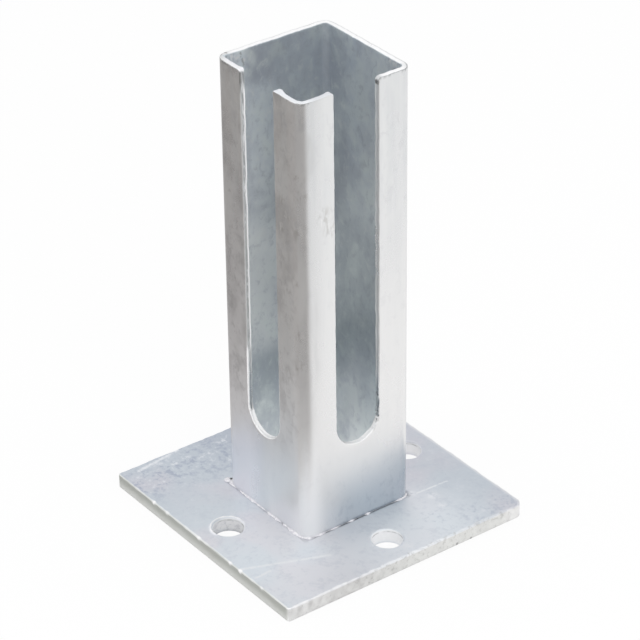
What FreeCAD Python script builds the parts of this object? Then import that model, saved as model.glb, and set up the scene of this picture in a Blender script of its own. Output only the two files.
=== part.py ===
"""Galvanised base plate with an open-topped square sleeve for a fence corner post.

Frame: millimetres, +Z up, origin at the centre of the plate's underside.
The sleeve is slotted in its -Y and +X walls, so that the boards or panels of two fence runs
that meet at the corner can slide down from the top. Its -X and +Y walls are whole.
The sleeve's foot sits in a square cut-out in the plate and is welded from below, inside the
plate's thickness, so that the underside stays flat. A fine zinc seam closes the joint above.
"""

import FreeCAD
import Part
import math
import os

Vector = FreeCAD.Vector

# Base plate
PLATE_SIDE = 150.0
PLATE_THICKNESS = 8.0
PLATE_CORNER_RADIUS = 1.5  # three corners, as cut
DRESSED_CORNER_RADIUS = 4.5  # the +X +Y corner, ground rounder than the rest
PLATE_TOP_EDGE_RADIUS = 1.0  # rolled over by the shear, then softened by zinc
PLATE_BOTTOM_EDGE_BEVEL = 0.4

# Anchor holes, one at the middle of each side of the plate
ANCHOR_HOLE_DIAMETER = 16.0
ANCHOR_CIRCLE_DIAMETER = 115.0
ANCHOR_HOLE_COUNT = 4
ANCHOR_RIM_BEVEL = 0.6  # deburred upper rim of each hole

# Post sleeve
POST_SIDE = 60.0  # square post that the sleeve takes
POST_CLEARANCE = 0.75  # on each side of the post
SLEEVE_WALL = 3.0
SLEEVE_BEND_RADIUS = 3.0  # inside the bend
SLEEVE_LENGTH = 250.0
SLEEVE_EDGE_RADIUS = 0.5  # zinc-rounded edges of the mouth and the slots

# Slots, open at the top and round at the bottom
SLOT_WIDTH = 26.0
SLOT_DEPTH = 200.0  # from the mouth to the lowest point of the floor

# Joint between the sleeve and the plate
SEAT_DEPTH = 4.0  # how far the sleeve's foot goes into the plate
SEAT_CLEARANCE = 0.2  # on each side of the sleeve, in the plate's cut-out
ROOT_WELD_SET_BACK = 0.6  # between the weld's toe and the plate's underside
ROOT_WELD_THROAT_SAG = 0.4  # how far the weld's face is hollowed
FOOT_SEAM_LEG = 1.2  # on the plate and on the sleeve
FOOT_SEAM_SAG = 0.25

# Sizes that follow from those above
SLEEVE_INSIDE = POST_SIDE + 2 * POST_CLEARANCE
SLEEVE_OUTSIDE = SLEEVE_INSIDE + 2 * SLEEVE_WALL
SLEEVE_OUTER_RADIUS = SLEEVE_BEND_RADIUS + SLEEVE_WALL
SLEEVE_FOOT_Z = PLATE_THICKNESS - SEAT_DEPTH
SLEEVE_TOP_Z = SLEEVE_FOOT_Z + SLEEVE_LENGTH
SEAT_SIDE = SLEEVE_OUTSIDE + 2 * SEAT_CLEARANCE
SEAT_RADIUS = SLEEVE_OUTER_RADIUS + SEAT_CLEARANCE
SLOT_FLOOR_Z = SLEEVE_TOP_Z - SLOT_DEPTH

# Modelling aids
CUT_OVERRUN = 1.0  # how far a cutting tool passes the faces that it opens
SAME = 1e-6  # two lengths closer than this are equal


def rounded_outline(side, radii, z):
    """Closed outline of a square on the Z axis, its corners rounded in the order
    +X+Y, -X+Y, -X-Y, +X-Y."""
    half = side / 2
    edges = []
    first = last = None
    for corner, radius in enumerate(radii):
        turn = FreeCAD.Rotation(Vector(0, 0, 1), 90 * corner)
        inset = half - radius
        diagonal = inset + radius * math.sqrt(0.5)
        start, middle, end = (
            turn.multVec(Vector(x, y, 0)) + Vector(0, 0, z)
            for x, y in ((half, inset), (diagonal, diagonal), (inset, half))
        )
        if last is not None:
            edges.append(Part.LineSegment(last, start).toShape())
        edges.append(Part.Arc(start, middle, end).toShape())
        first = first or start
        last = end
    edges.append(Part.LineSegment(last, first).toShape())
    return Part.Wire(edges)


def square_prism(side, radius, bottom, top):
    """Upright square bar with four equal rounded corners."""
    outline = rounded_outline(side, [radius] * 4, bottom)
    return Part.Face(outline).extrude(Vector(0, 0, top - bottom))


def edges_at_height(solid, z, keep=lambda edge: True):
    """Edges that lie wholly in the plane at height z and that keep() accepts."""
    return [
        edge
        for edge in solid.Edges
        if max(abs(vertex.Z - z) for vertex in edge.Vertexes) < SAME and keep(edge)
    ]


def base_plate():
    """Square plate with a seat for the sleeve and four anchor holes."""
    radii = [DRESSED_CORNER_RADIUS] + [PLATE_CORNER_RADIUS] * 3
    blank = Part.Face(rounded_outline(PLATE_SIDE, radii, 0)).extrude(Vector(0, 0, PLATE_THICKNESS))
    blank = blank.makeFillet(PLATE_TOP_EDGE_RADIUS, edges_at_height(blank, PLATE_THICKNESS))
    blank = blank.makeChamfer(PLATE_BOTTOM_EDGE_BEVEL, edges_at_height(blank, 0))
    cuts = [square_prism(SEAT_SIDE, SEAT_RADIUS, -CUT_OVERRUN, PLATE_THICKNESS + CUT_OVERRUN)]
    for index in range(ANCHOR_HOLE_COUNT):
        angle = 2 * math.pi * index / ANCHOR_HOLE_COUNT
        reach = ANCHOR_CIRCLE_DIAMETER / 2
        foot = Vector(reach * math.cos(angle), reach * math.sin(angle), -CUT_OVERRUN)
        drill_length = PLATE_THICKNESS + 2 * CUT_OVERRUN
        cuts.append(Part.makeCylinder(ANCHOR_HOLE_DIAMETER / 2, drill_length, foot))
    plate = blank.cut(cuts)

    def is_hole_rim(edge):
        circle = edge.Curve
        return isinstance(circle, Part.Circle) and abs(circle.Radius - ANCHOR_HOLE_DIAMETER / 2) < SAME

    return plate.makeChamfer(ANCHOR_RIM_BEVEL, edges_at_height(plate, PLATE_THICKNESS, is_hole_rim))


def slot_cutter(turn):
    """Tool that opens one slot through the -Y wall, turned about Z by the given angle."""
    radius = SLOT_WIDTH / 2
    depth = SLEEVE_OUTSIDE / 2 + CUT_OVERRUN
    arc_z = SLOT_FLOOR_Z + radius
    left, right = (Vector(x, -depth, arc_z) for x in (-radius, radius))
    bottom = Vector(0, -depth, SLOT_FLOOR_Z)
    rise = Vector(0, 0, SLEEVE_TOP_Z + CUT_OVERRUN - arc_z)
    outline = Part.Wire(
        [
            Part.LineSegment(left + rise, left).toShape(),
            Part.Arc(left, bottom, right).toShape(),
            Part.LineSegment(right, right + rise).toShape(),
            Part.LineSegment(right + rise, left + rise).toShape(),
        ]
    )
    cutter = Part.Face(outline).extrude(Vector(0, depth, 0))
    cutter.rotate(Vector(0, 0, 0), Vector(0, 0, 1), turn)
    return cutter


def is_cut_edge(edge):
    """True for the edges of the sleeve's mouth and of its slots."""
    middle = edge.valueAt((edge.FirstParameter + edge.LastParameter) / 2)
    in_mouth = all(abs(vertex.Z - SLEEVE_TOP_Z) < SAME for vertex in edge.Vertexes)
    beside_slot = any(
        abs(abs(across) - SLOT_WIDTH / 2) < SAME and through > SLEEVE_INSIDE / 2 - SAME
        for across, through in ((middle.x, -middle.y), (middle.y, middle.x))
    )
    in_slot_floor = isinstance(edge.Curve, Part.Circle) and abs(edge.Curve.Radius - SLOT_WIDTH / 2) < SAME
    return in_mouth or beside_slot or in_slot_floor


def post_sleeve():
    """Square tube with round bends, slotted from the top in its -Y and +X walls."""
    outer = square_prism(SLEEVE_OUTSIDE, SLEEVE_OUTER_RADIUS, SLEEVE_FOOT_Z, SLEEVE_TOP_Z)
    inner = square_prism(
        SLEEVE_INSIDE, SLEEVE_BEND_RADIUS, SLEEVE_FOOT_Z - CUT_OVERRUN, SLEEVE_TOP_Z + CUT_OVERRUN
    )
    tube = outer.cut([inner, slot_cutter(0), slot_cutter(90)])
    cut_edges = [edge for edge in tube.Edges if is_cut_edge(edge)]
    return tube.makeFillet(SLEEVE_EDGE_RADIUS, cut_edges)


def hollow_fillet(wall_side, wall_radius, corner_z, reach, rise, sag):
    """Ring with a three-cornered section and a hollow face, laid round a square outline.

    The section's right angle lies on the outline at corner_z. It reaches sideways by reach
    (outwards where positive) and upwards by rise (downwards where negative)."""
    half = wall_side / 2
    heel = Vector(half, 0, corner_z)
    side_toe = Vector(half + reach, 0, corner_z)
    top_toe = Vector(half, 0, corner_z + rise)
    middle = (side_toe + top_toe) * 0.5
    inward = Vector(-rise, 0, -reach).normalize() * math.copysign(sag, reach * rise)
    face_middle = middle + inward
    section = Part.Wire(
        [
            Part.LineSegment(heel, side_toe).toShape(),
            Part.Arc(side_toe, face_middle, top_toe).toShape(),
            Part.LineSegment(top_toe, heel).toShape(),
        ]
    )
    path = rounded_outline(wall_side, [wall_radius] * 4, corner_z)
    return path.makePipeShell([section], True, False)


def foot_seam():
    """Fine seam of zinc round the sleeve's foot, on top of the plate."""
    return hollow_fillet(
        SLEEVE_OUTSIDE, SLEEVE_OUTER_RADIUS, PLATE_THICKNESS, FOOT_SEAM_LEG, FOOT_SEAM_LEG, FOOT_SEAM_SAG
    )


def root_weld():
    """Fillet weld below the sleeve's foot, in the corner between its end and the plate's cut-out."""
    leg_down = SLEEVE_FOOT_Z - ROOT_WELD_SET_BACK
    leg_in = SLEEVE_WALL + SEAT_CLEARANCE
    return hollow_fillet(
        SEAT_SIDE, SEAT_RADIUS, SLEEVE_FOOT_Z, -leg_in, -leg_down, ROOT_WELD_THROAT_SAG
    )


PIECES = {
    "base_plate": base_plate,
    "post_sleeve": post_sleeve,
    "foot_seam": foot_seam,
    "root_weld": root_weld,
}

os.makedirs("parts", exist_ok=True)
for name, make in PIECES.items():
    piece = make()
    print(name, "valid", piece.isValid(), "volume", round(piece.Volume, 1), "solids", len(piece.Solids))
    piece.exportStep(f"parts/{name}.step")
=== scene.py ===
"""Looks of a galvanised fence post base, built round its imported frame.

Metres, +Z up, origin at the centre of the plate's underside. The plate, the slotted sleeve, the zinc seam
round its foot and the weld below it are surfaces worked out with numpy: rounded edges thickened by zinc,
cut edges that wander a little, and an uneven seam. Each finish is a galvanised one, with its own clouds,
streaks, mottling and scratches.
"""

import math

import bmesh
import bpy
import numpy as np
from mathutils import Matrix, Vector

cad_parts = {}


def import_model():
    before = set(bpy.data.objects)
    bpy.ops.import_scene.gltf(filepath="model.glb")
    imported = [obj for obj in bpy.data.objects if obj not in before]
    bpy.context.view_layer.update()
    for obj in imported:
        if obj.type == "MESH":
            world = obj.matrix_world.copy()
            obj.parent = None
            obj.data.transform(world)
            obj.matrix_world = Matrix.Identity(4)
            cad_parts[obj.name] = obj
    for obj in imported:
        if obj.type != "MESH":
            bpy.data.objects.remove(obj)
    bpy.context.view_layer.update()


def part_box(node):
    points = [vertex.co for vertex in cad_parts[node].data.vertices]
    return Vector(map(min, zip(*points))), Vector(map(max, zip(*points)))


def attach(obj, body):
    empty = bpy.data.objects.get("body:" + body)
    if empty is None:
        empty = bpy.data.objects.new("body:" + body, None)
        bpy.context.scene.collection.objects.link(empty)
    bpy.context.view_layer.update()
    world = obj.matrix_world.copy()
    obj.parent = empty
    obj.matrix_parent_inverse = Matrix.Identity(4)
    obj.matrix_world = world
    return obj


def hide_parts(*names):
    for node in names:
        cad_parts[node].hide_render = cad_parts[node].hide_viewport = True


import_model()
scene = bpy.context.scene
MM = 0.001

# Sizes read from the frame
plate_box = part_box("base_plate")
sleeve_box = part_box("post_sleeve")
PLATE_HALF = plate_box[1].x
PLATE_TOP = plate_box[1].z
SLEEVE_HALF = sleeve_box[1].x
SLEEVE_FOOT = sleeve_box[0].z
SLEEVE_TOP = sleeve_box[1].z

# Plate
PLATE_CORNER_RADII = (1.5 * MM, 4.5 * MM, 1.5 * MM, 1.5 * MM)  # +X-Y, +X+Y, -X+Y, -X-Y
PLATE_EDGE_RADIUS = 1.0 * MM
PLATE_BEVEL = 0.4 * MM  # of the lower edge
ANCHOR_REACH = 57.5 * MM  # from the middle of the plate to each hole
ANCHOR_RADIUS = 8.0 * MM
ANCHOR_RIM = 0.7 * MM
ANCHOR_BEVEL = 0.2 * MM  # of each hole's lower edge
SEAT_CLEARANCE = 0.2 * MM
SEAT_SIDE_GAP = 0.5 * MM  # wider gap along the +X side

# Sleeve
SLEEVE_WALL = 3.0 * MM
HALF_WALL = SLEEVE_WALL / 2
BEND_RADIUS = 6.0 * MM  # outside
SLOT_HALF = 13.0 * MM
SLOT_DEPTH = 200.0 * MM
CUT_EDGE_RADIUS = 0.7 * MM  # of the mouth and the slots, thickened by zinc
MOUTH_CORNER_RADIUS = 1.7 * MM  # where a slot meets the mouth

# Joint
SEAM_LEG = 1.2 * MM
WELD_SET_BACK = 0.6 * MM  # between the weld's toe and the underside
WELD_RIPPLE = 2.4 * MM  # from one ripple to the next
WELD_RIPPLE_HEIGHT = 0.35 * MM
WELD_CROWN = 0.1 * MM  # between the ripples

# Mesh density
ARC_STEPS = 6
SIDE_STEPS = 140
DIAGONAL_STEPS = 25
ROUND_ROWS = 6
HOLE_WALL_ROWS = 6
SIDE_WALL_ROWS = 8
SEAT_ROWS = 5
CORNER_COLUMNS = 5
SLOT_COLUMNS = 30
SLEEVE_LOW_ROWS = 26
SLEEVE_HIGH_ROWS = 90
SLEEVE_END_ROWS = 4
SEAM_ROWS = 10
DROP_ROWS = 14
DROP_COLUMNS = 48
WELD_ROWS = 8
STRIP_COLUMN = 0.8 * MM  # width of a column of the sleeve's faces
MERGE_DISTANCE = 1e-6  # points closer than this become one


# Surfaces


def waves(points, wavelength, seed, count=32):
    """Smooth random field of about unit size at each point: a sum of seeded cosine waves that run in all
    directions, with lengths round the given one."""
    rng = np.random.default_rng(seed)
    heading = rng.normal(size=(count, points.shape[-1]))
    heading /= np.linalg.norm(heading, axis=1, keepdims=True)
    pitch = 2 * np.pi / (wavelength * rng.uniform(0.6, 1.7, count))
    phase = rng.uniform(0, 2 * np.pi, count)
    return np.cos(points @ (heading * pitch[:, None]).T + phase).sum(-1) * math.sqrt(2 / count)


def smooth(value, low, high):
    """0 where the value is below low, 1 where it is above high, and a smooth rise between."""
    share = np.clip((value - low) / (high - low), 0, 1)
    return share * share * (3 - 2 * share)


def rise(distance, low, high):
    """A smooth rise over a distance, with its limits in millimetres."""
    return smooth(distance, low * MM, high * MM)


def bells(points, spots):
    """Sum of bell-shaped bumps. Each spot is a place and a width in millimetres, and a height."""
    total = np.zeros(points.shape[:-1])
    for place, width, height in spots:
        distance = np.linalg.norm(points - np.array(place) * MM, axis=-1)
        total += height * np.exp(-((distance / (width * MM)) ** 2))
    return total


def lift(flat, height):
    """Points in space from points in the plane and their heights, which are stretched to match."""
    height = np.broadcast_to(height, flat.shape[:-1])
    return np.concatenate([flat, height[..., None]], axis=-1)


def square_quarters(half, radii):
    """Quarters of a rounded square's outline, anticlockwise from the diagonal of the +X-Y corner.

    A quarter is half a corner's arc, a straight side and half of the next arc. Returns the points and their
    outward normals, each of shape (4, points in a quarter, 2)."""
    rising = np.linspace(-np.pi / 4, 0, ARC_STEPS + 1)
    angle = np.concatenate([rising, np.zeros(SIDE_STEPS - 1), -rising[::-1]])
    points, normals = [], []
    for quarter in range(4):
        first, last = radii[quarter], radii[(quarter + 1) % 4]
        radius = np.repeat([first, 0.0, last], [ARC_STEPS + 1, SIDE_STEPS - 1, ARC_STEPS + 1])
        centre = np.interp(
            np.arange(len(angle)), [ARC_STEPS, ARC_STEPS + SIDE_STEPS], [first - half, half - last]
        )
        normal = np.stack([np.cos(angle), np.sin(angle)], axis=-1)
        point = np.stack([half - radius, centre], axis=-1) + radius[:, None] * normal
        turn = np.linalg.matrix_power(np.array([[0.0, 1.0], [-1.0, 0.0]]), quarter)
        points.append(point @ turn)
        normals.append(normal @ turn)
    return np.array(points), np.array(normals)


def ring(quarters):
    """The closed outline of four quarters, without the ends that they share."""
    return quarters[:, :-1].reshape(-1, quarters.shape[-1])


def add_piece(name, grids, node, finish):
    """Adds the piece that stands for a node of the frame.

    Each grid is an array of points (rows, columns, 3), says whether its last column joins its first, and
    gives the share of fresh zinc bead at each point. The grids become one closed mesh of quads: points that
    coincide are merged and faces are turned outwards."""
    points, beads, quads, first = [], [], [], 0
    for grid, joins, bead in grids:
        index = first + np.arange(grid.shape[0] * grid.shape[1]).reshape(grid.shape[:2])
        first += index.size
        if joins:
            index = np.concatenate([index, index[:, :1]], axis=1)
        corners = [index[:-1, :-1], index[:-1, 1:], index[1:, 1:], index[1:, :-1]]
        quads.append(np.stack(corners, axis=-1).reshape(-1, 4))
        points.append(grid.reshape(-1, 3))
        beads.append(np.broadcast_to(bead, grid.shape[:2]).ravel())
    mesh = bpy.data.meshes.new(name)
    mesh.from_pydata(np.concatenate(points), [], np.concatenate(quads))
    share = mesh.attributes.new("bead", "FLOAT", "POINT")
    share.data.foreach_set("value", np.concatenate(beads).astype(np.float32))
    shell = bmesh.new()
    shell.from_mesh(mesh)
    bmesh.ops.remove_doubles(shell, verts=shell.verts, dist=MERGE_DISTANCE)
    bmesh.ops.recalc_face_normals(shell, faces=shell.faces)
    shell.to_mesh(mesh)
    shell.free()
    mesh.polygons.foreach_set("use_smooth", np.ones(len(mesh.polygons), bool))
    mesh.materials.append(finish)
    piece = bpy.data.objects.new(name, mesh)
    scene.collection.objects.link(piece)
    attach(piece, "root")
    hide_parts(node)


# Surfaces of the plate


PLATE_MARGIN = 3.0 * MM  # strip along the plate's edge that follows the edge's unevenness
RIM_MARGIN = 2.4 * MM  # strip round each hole that follows the rim's unevenness
SEAT_MARGIN = 1.5 * MM  # strip round the seat, sharp-cornered outside
LEAST_CORNER = 0.5 * MM  # radius of a corner of the area inside the edge's strip
FAN_SHIFT = 1.15  # a sector's lines fan out from a point this many times as far out as its hole
# Rows of the upper face, the lower face and the flat strips, as shares of the way across
SECTOR_SHARES = np.array([0, 0.03, 0.08, 0.16, 0.26, 0.38, 0.5, 0.62, 0.74, 0.84, 0.92, 0.97, 1])
LOWER_SHARES = np.array([0, 0.02, 0.3, 0.7, 0.98, 1])
STRIP_SHARES = np.array([0, 0.3, 0.55, 0.75, 0.9])[:, None]
ROUND_OVER = np.linspace(0, np.pi / 2, ROUND_ROWS)[:, None]
EDGE_DEPTHS = (0.35 * MM, 1.9 * MM)  # least and greatest depth of the rounded edge
EDGE_INSET = 1.4 * MM  # greatest distance of the rounded edge in from the side
SIDE_RISE = (72.5, 74.8)  # stretch out from the middle over which a side begins, in mm
HOLLOW_DEPTH = 0.04 * MM  # of the hollows in the sides
EDGE_NICKS = [
    ((x, -75, 8), 1.2, depth)
    for x, depth in ((-42, 0.6), (-30, 0.35), (-2, 0.4), (25.6, 0.5), (34.2, 0.9), (52.5, 0.4))
]
HOLE_COLLARS = (0.1, 0.15, 0.25, 0.6)  # height in mm of the zinc round the +X, +Y, -X and -Y holes
COLLAR_SIDE = (-0.99, -0.15)  # direction in which the zinc round a hole is thicker
COLLAR_REACH = 1.1 * MM  # out from the hole's wall
COLLAR_WIDTH = 0.55 * MM


def hole_grid(quarter, middle, heading):
    """Grid of the strip that follows a hole's rim: flat, then a quarter round of uneven size, an upright
    wall and a small bevel. The flat part is raised on one side, by a bell-shaped collar of zinc."""
    around = lift(heading, quarter)
    rim = ANCHOR_RIM * (1 + 0.25 * waves(around, 0.8, 4))
    flat_reach = RIM_MARGIN + (rim - RIM_MARGIN) * STRIP_SHARES
    round_reach = rim * (1 - np.sin(ROUND_OVER))
    round_height = PLATE_TOP - rim * (1 - np.cos(ROUND_OVER))
    drop = np.linspace(0, 1, HOLE_WALL_ROWS + 1)[1:, None]
    wall_height = round_height[-1] + (ANCHOR_BEVEL - round_height[-1]) * drop
    foot = np.full((1, len(rim)), ANCHOR_BEVEL)
    reach = np.concatenate([flat_reach, round_reach, 0 * wall_height, foot])
    height = np.concatenate([PLATE_TOP + 0 * flat_reach, round_height, wall_height, 0 * foot])
    collar = smooth(heading @ np.array(COLLAR_SIDE), -0.7, 0.6) * (1 + 0.3 * waves(around, 0.5, 6))
    hump = np.exp(-(((reach - COLLAR_REACH) / COLLAR_WIDTH) ** 2))
    hump = hump * (height > PLATE_TOP - MM) * (reach < RIM_MARGIN)
    height = height + HOLE_COLLARS[quarter] * MM * collar * hump
    wall = rise(-reach, -0.4, 0) * rise(height, 0.3, 2)
    bead = np.maximum(collar * hump * min(1.0, 2 * HOLE_COLLARS[quarter]), 0.9 * wall)
    return lift(middle + heading * (ANCHOR_RADIUS + reach)[..., None], height), True, bead


def edge_grid(outline, normals, clear):
    """Grid of the strip that follows the plate's edge: flat, then a quarter round of uneven depth with
    nicks, an upright side with shallow hollows, and a small bevel. Its fresh zinc lies on the +X side and
    in the nicks, and a painted highlight, kept with the fresh zinc, runs along the rounded edge of the -Y
    side."""
    path, facing, start = ring(outline), ring(normals), ring(clear)
    spots = lift(path, PLATE_TOP)
    right_side = rise(path[:, 0], *SIDE_RISE)
    front_side = rise(-path[:, 1], *SIDE_RISE)
    rough = right_side * rise(path[:, 1], -70, -10)
    nicks = bells(spots, EDGE_NICKS)
    depth = PLATE_EDGE_RADIUS * (0.85 + 0.16 * waves(spots, 14 * MM, 1) + 0.12 * waves(spots, 4 * MM, 2))
    depth += rough * MM * (0.15 + 0.28 * waves(spots, 3.2 * MM, 3)) + MM * nicks
    depth = np.clip(depth, *EDGE_DEPTHS)
    edge_inset = np.minimum(depth, EDGE_INSET)
    side = path - edge_inset[:, None] * facing
    top_strip = lift(start + (side - start) * STRIP_SHARES[..., None], PLATE_TOP)
    round_inset = edge_inset * (1 - np.sin(ROUND_OVER))
    round_height = PLATE_TOP - depth * (1 - np.cos(ROUND_OVER))
    drop = np.linspace(0, 1, SIDE_WALL_ROWS + 1)[1:, None]
    side_height = round_height[-1] + (PLATE_BEVEL - round_height[-1]) * drop
    side_points = lift(np.broadcast_to(path, side_height.shape + (2,)), side_height)
    hollows = np.clip(1 + waves(side_points, 3 * MM, 5), 0, None) * np.sin(np.pi * drop)
    side_inset = HOLLOW_DEPTH * hollows * (0.5 + rough)
    inset = np.concatenate([round_inset, side_inset, np.full((1, len(path)), PLATE_BEVEL)])
    height = np.concatenate([round_height, side_height, np.zeros((1, len(path)))])
    edge = lift(path - inset[..., None] * facing, height)
    fresh = np.clip(0.7 + 0.2 * waves(edge, 4 * MM, 7), 0, 1) * right_side
    fresh[:ROUND_ROWS] *= 1 - 0.5 * rough
    # painted highlight along the rounded edge of the -Y side, given as fresh zinc
    fresh[: ROUND_ROWS - 1] += 0.6 * front_side * np.clip(0.8 + 0.4 * waves(spots, 30 * MM, 8), 0, 1)
    fresh[0] *= 0.3
    fresh[:ROUND_ROWS] += np.clip(1.5 * nicks, 0, 0.9)
    bead = np.concatenate([0 * top_strip[..., 0], fresh])
    return np.concatenate([top_strip, edge]), True, bead


def plate_grids():
    """Grids of the plate.

    Its upper and lower faces are four sectors. In each, straight lines run from a circle round the sector's
    hole to the sector's border, which is made of the plate's outline, two diagonals and the outline of the
    seat. Strips follow the holes' rims and the plate's edge, and the seat's wall joins both faces."""
    outline, normals = square_quarters(PLATE_HALF, PLATE_CORNER_RADII)
    clear_radii = [max(radius - PLATE_MARGIN, LEAST_CORNER) for radius in PLATE_CORNER_RADII]
    clear, _ = square_quarters(PLATE_HALF - PLATE_MARGIN, clear_radii)
    lower = outline - PLATE_BEVEL * normals
    seat, _ = square_quarters(SLEEVE_HALF + SEAT_CLEARANCE, [BEND_RADIUS + SEAT_CLEARANCE] * 4)
    seat[..., 0] += SEAT_SIDE_GAP * (seat[..., 0] > 0)
    square, _ = square_quarters(SLEEVE_HALF + SEAT_CLEARANCE + SEAT_MARGIN, [0.0] * 4)
    share = np.linspace(0, 1, DIAGONAL_STEPS + 1)[1:-1, None]
    grids = []
    for quarter in range(4):
        turn = quarter * math.pi / 2
        middle = ANCHOR_REACH * np.array([math.cos(turn), math.sin(turn)])
        outer, inner = clear[quarter], square[quarter]
        diagonal_end = outer[-1] + (inner[-1] - outer[-1]) * share
        diagonal_start = inner[0] + (outer[0] - inner[0]) * share
        inside = [diagonal_end, inner[::-1], diagonal_start]
        border = np.concatenate([outer] + inside)
        heading = border - FAN_SHIFT * middle
        heading /= np.linalg.norm(heading, axis=-1, keepdims=True)
        circle = middle + heading * (ANCHOR_RADIUS + RIM_MARGIN)
        upper_face = circle + (border - circle) * SECTOR_SHARES[:, None, None]
        grids.append((lift(upper_face, PLATE_TOP), True, 0.0))
        lower_border = np.concatenate([lower[quarter]] + inside)
        lower_rim = middle + heading * (ANCHOR_RADIUS + ANCHOR_BEVEL)
        lower_face = lower_rim + (lower_border - lower_rim) * LOWER_SHARES[:, None, None]
        grids.append((lift(lower_face, 0.0), True, 0.0))
        grids.append(hole_grid(quarter, middle, heading))
    grids.append(edge_grid(outline, normals, clear))
    seat_path = np.stack([ring(square)] + [ring(seat)] * SEAT_ROWS + [ring(square)])
    seat_height = np.pad(np.linspace(0, PLATE_TOP, SEAT_ROWS), 1, "edge")[:, None]
    grids.append((lift(seat_path, seat_height), True, 0.0))
    return grids


# Surfaces of the sleeve


MIDDLE_RADIUS = BEND_RADIUS - HALF_WALL
STRAIGHT_HALF = SLEEVE_HALF - BEND_RADIUS
QUARTER = 2 * STRAIGHT_HALF + MIDDLE_RADIUS * math.pi / 2
SLOT_REACH = SLOT_HALF + CUT_EDGE_RADIUS
ARC_HEIGHT = SLEEVE_TOP - SLOT_DEPTH + SLOT_HALF  # centre of each slot's round floor
LIP_OFFSET = -1.0 * MM  # from the middle of the wall to the ragged inner lip
LIP_WIDTH = 0.5 * MM
LIP_HEIGHT = 0.4 * MM
CUT_ROWS = np.array([0.5, 0.15, -0.15, -0.5]) * MM  # of the flat cut face, from the middle of the wall
WALL_RISE = (30, 32)  # stretch out from the middle over which a wall begins, in mm
MOUTH_KNOBS = [((15.6, -32.2, 254), 2.3, 1.0), ((32.2, -15, 254), 1.4, 0.8), ((-15, -32.2, 254), 1.4, 0.5)]
SLOT_NOTCHES = [((32.2, 9.6, 58), 1.3, 1.2), ((32.2, 12.9, 71), 2.4, 0.8), ((32.2, 13, 64), 1.2, 0.9)]
# the rim is dull at the mouth's -X-Y and +X+Y corners; the last spot is painted shade at the notch by the
# +X slot
DULL_AND_SHADED_RIM = [((-31, -31, 254), 5.0, 0.9), ((30, 31, 254), 3.0, 0.5), ((32.2, 13.5, 253), 1.8, 1.6)]
# Share of fresh zinc up a slot's side, by the distance in mm out from the middle of the wall
CUT_SHADES = {-1.5: 0.4, -1.4: 1, -0.5: 1, -0.25: 0, 0: -0.9, 0.6: -0.9, 0.9: 0, 1.1: 0.5, 1.4: 0.5, 1.5: 0}


def on_wall(along, height, offset):
    """Points of the sleeve's wall.

    along is the distance round the middle of the wall, from the middle of the -Y side towards +X. offset is
    the distance out from the middle of the wall. Each quarter is a straight side followed by a bend."""
    along, height, offset = np.broadcast_arrays(along, height, offset)
    wall = np.floor((along + STRAIGHT_HALF) / QUARTER)
    local = along - wall * QUARTER
    angle = np.clip(local - STRAIGHT_HALF, 0, None) / MIDDLE_RADIUS
    side = np.clip(local, None, STRAIGHT_HALF) + (MIDDLE_RADIUS + offset) * np.sin(angle)
    out = STRAIGHT_HALF + (MIDDLE_RADIUS + offset) * np.cos(angle)
    turn = wall * np.pi / 2
    x = side * np.cos(turn) + out * np.sin(turn)
    y = side * np.sin(turn) - out * np.cos(turn)
    return np.stack([x, y, height], axis=-1)


def wall_strip(start, end):
    """Columns of a strip of wall between two slots, and how far each one's top lies below the mouth. At
    both ends the tops follow a quarter round."""
    corner = MOUTH_CORNER_RADIUS - CUT_EDGE_RADIUS
    turn = np.linspace(0, np.pi / 2, CORNER_COLUMNS)
    columns = corner * (1 - np.cos(turn))
    corner_drop = corner * (1 - np.sin(turn))
    count = int((end - start - 2 * corner) / STRIP_COLUMN)
    middle = np.linspace(start + corner, end - corner, count)[1:-1]
    along = np.concatenate([start + columns, middle, end - columns[::-1]])
    drop = np.concatenate([corner_drop, np.zeros(len(middle)), corner_drop[::-1]])
    return along, drop


def strip_edge(along, height):
    """A strip's edge: up its first column, along its tops and down its last column."""
    up = np.stack([along[0] + 0 * height[:, 0], height[:, 0]], axis=-1)
    over = np.stack([along, height[-1]], axis=-1)[1:-1]
    down = np.stack([along[-1] + 0 * height[:, -1], height[:, -1]], axis=-1)
    return np.concatenate([up, over, down[::-1]])


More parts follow.
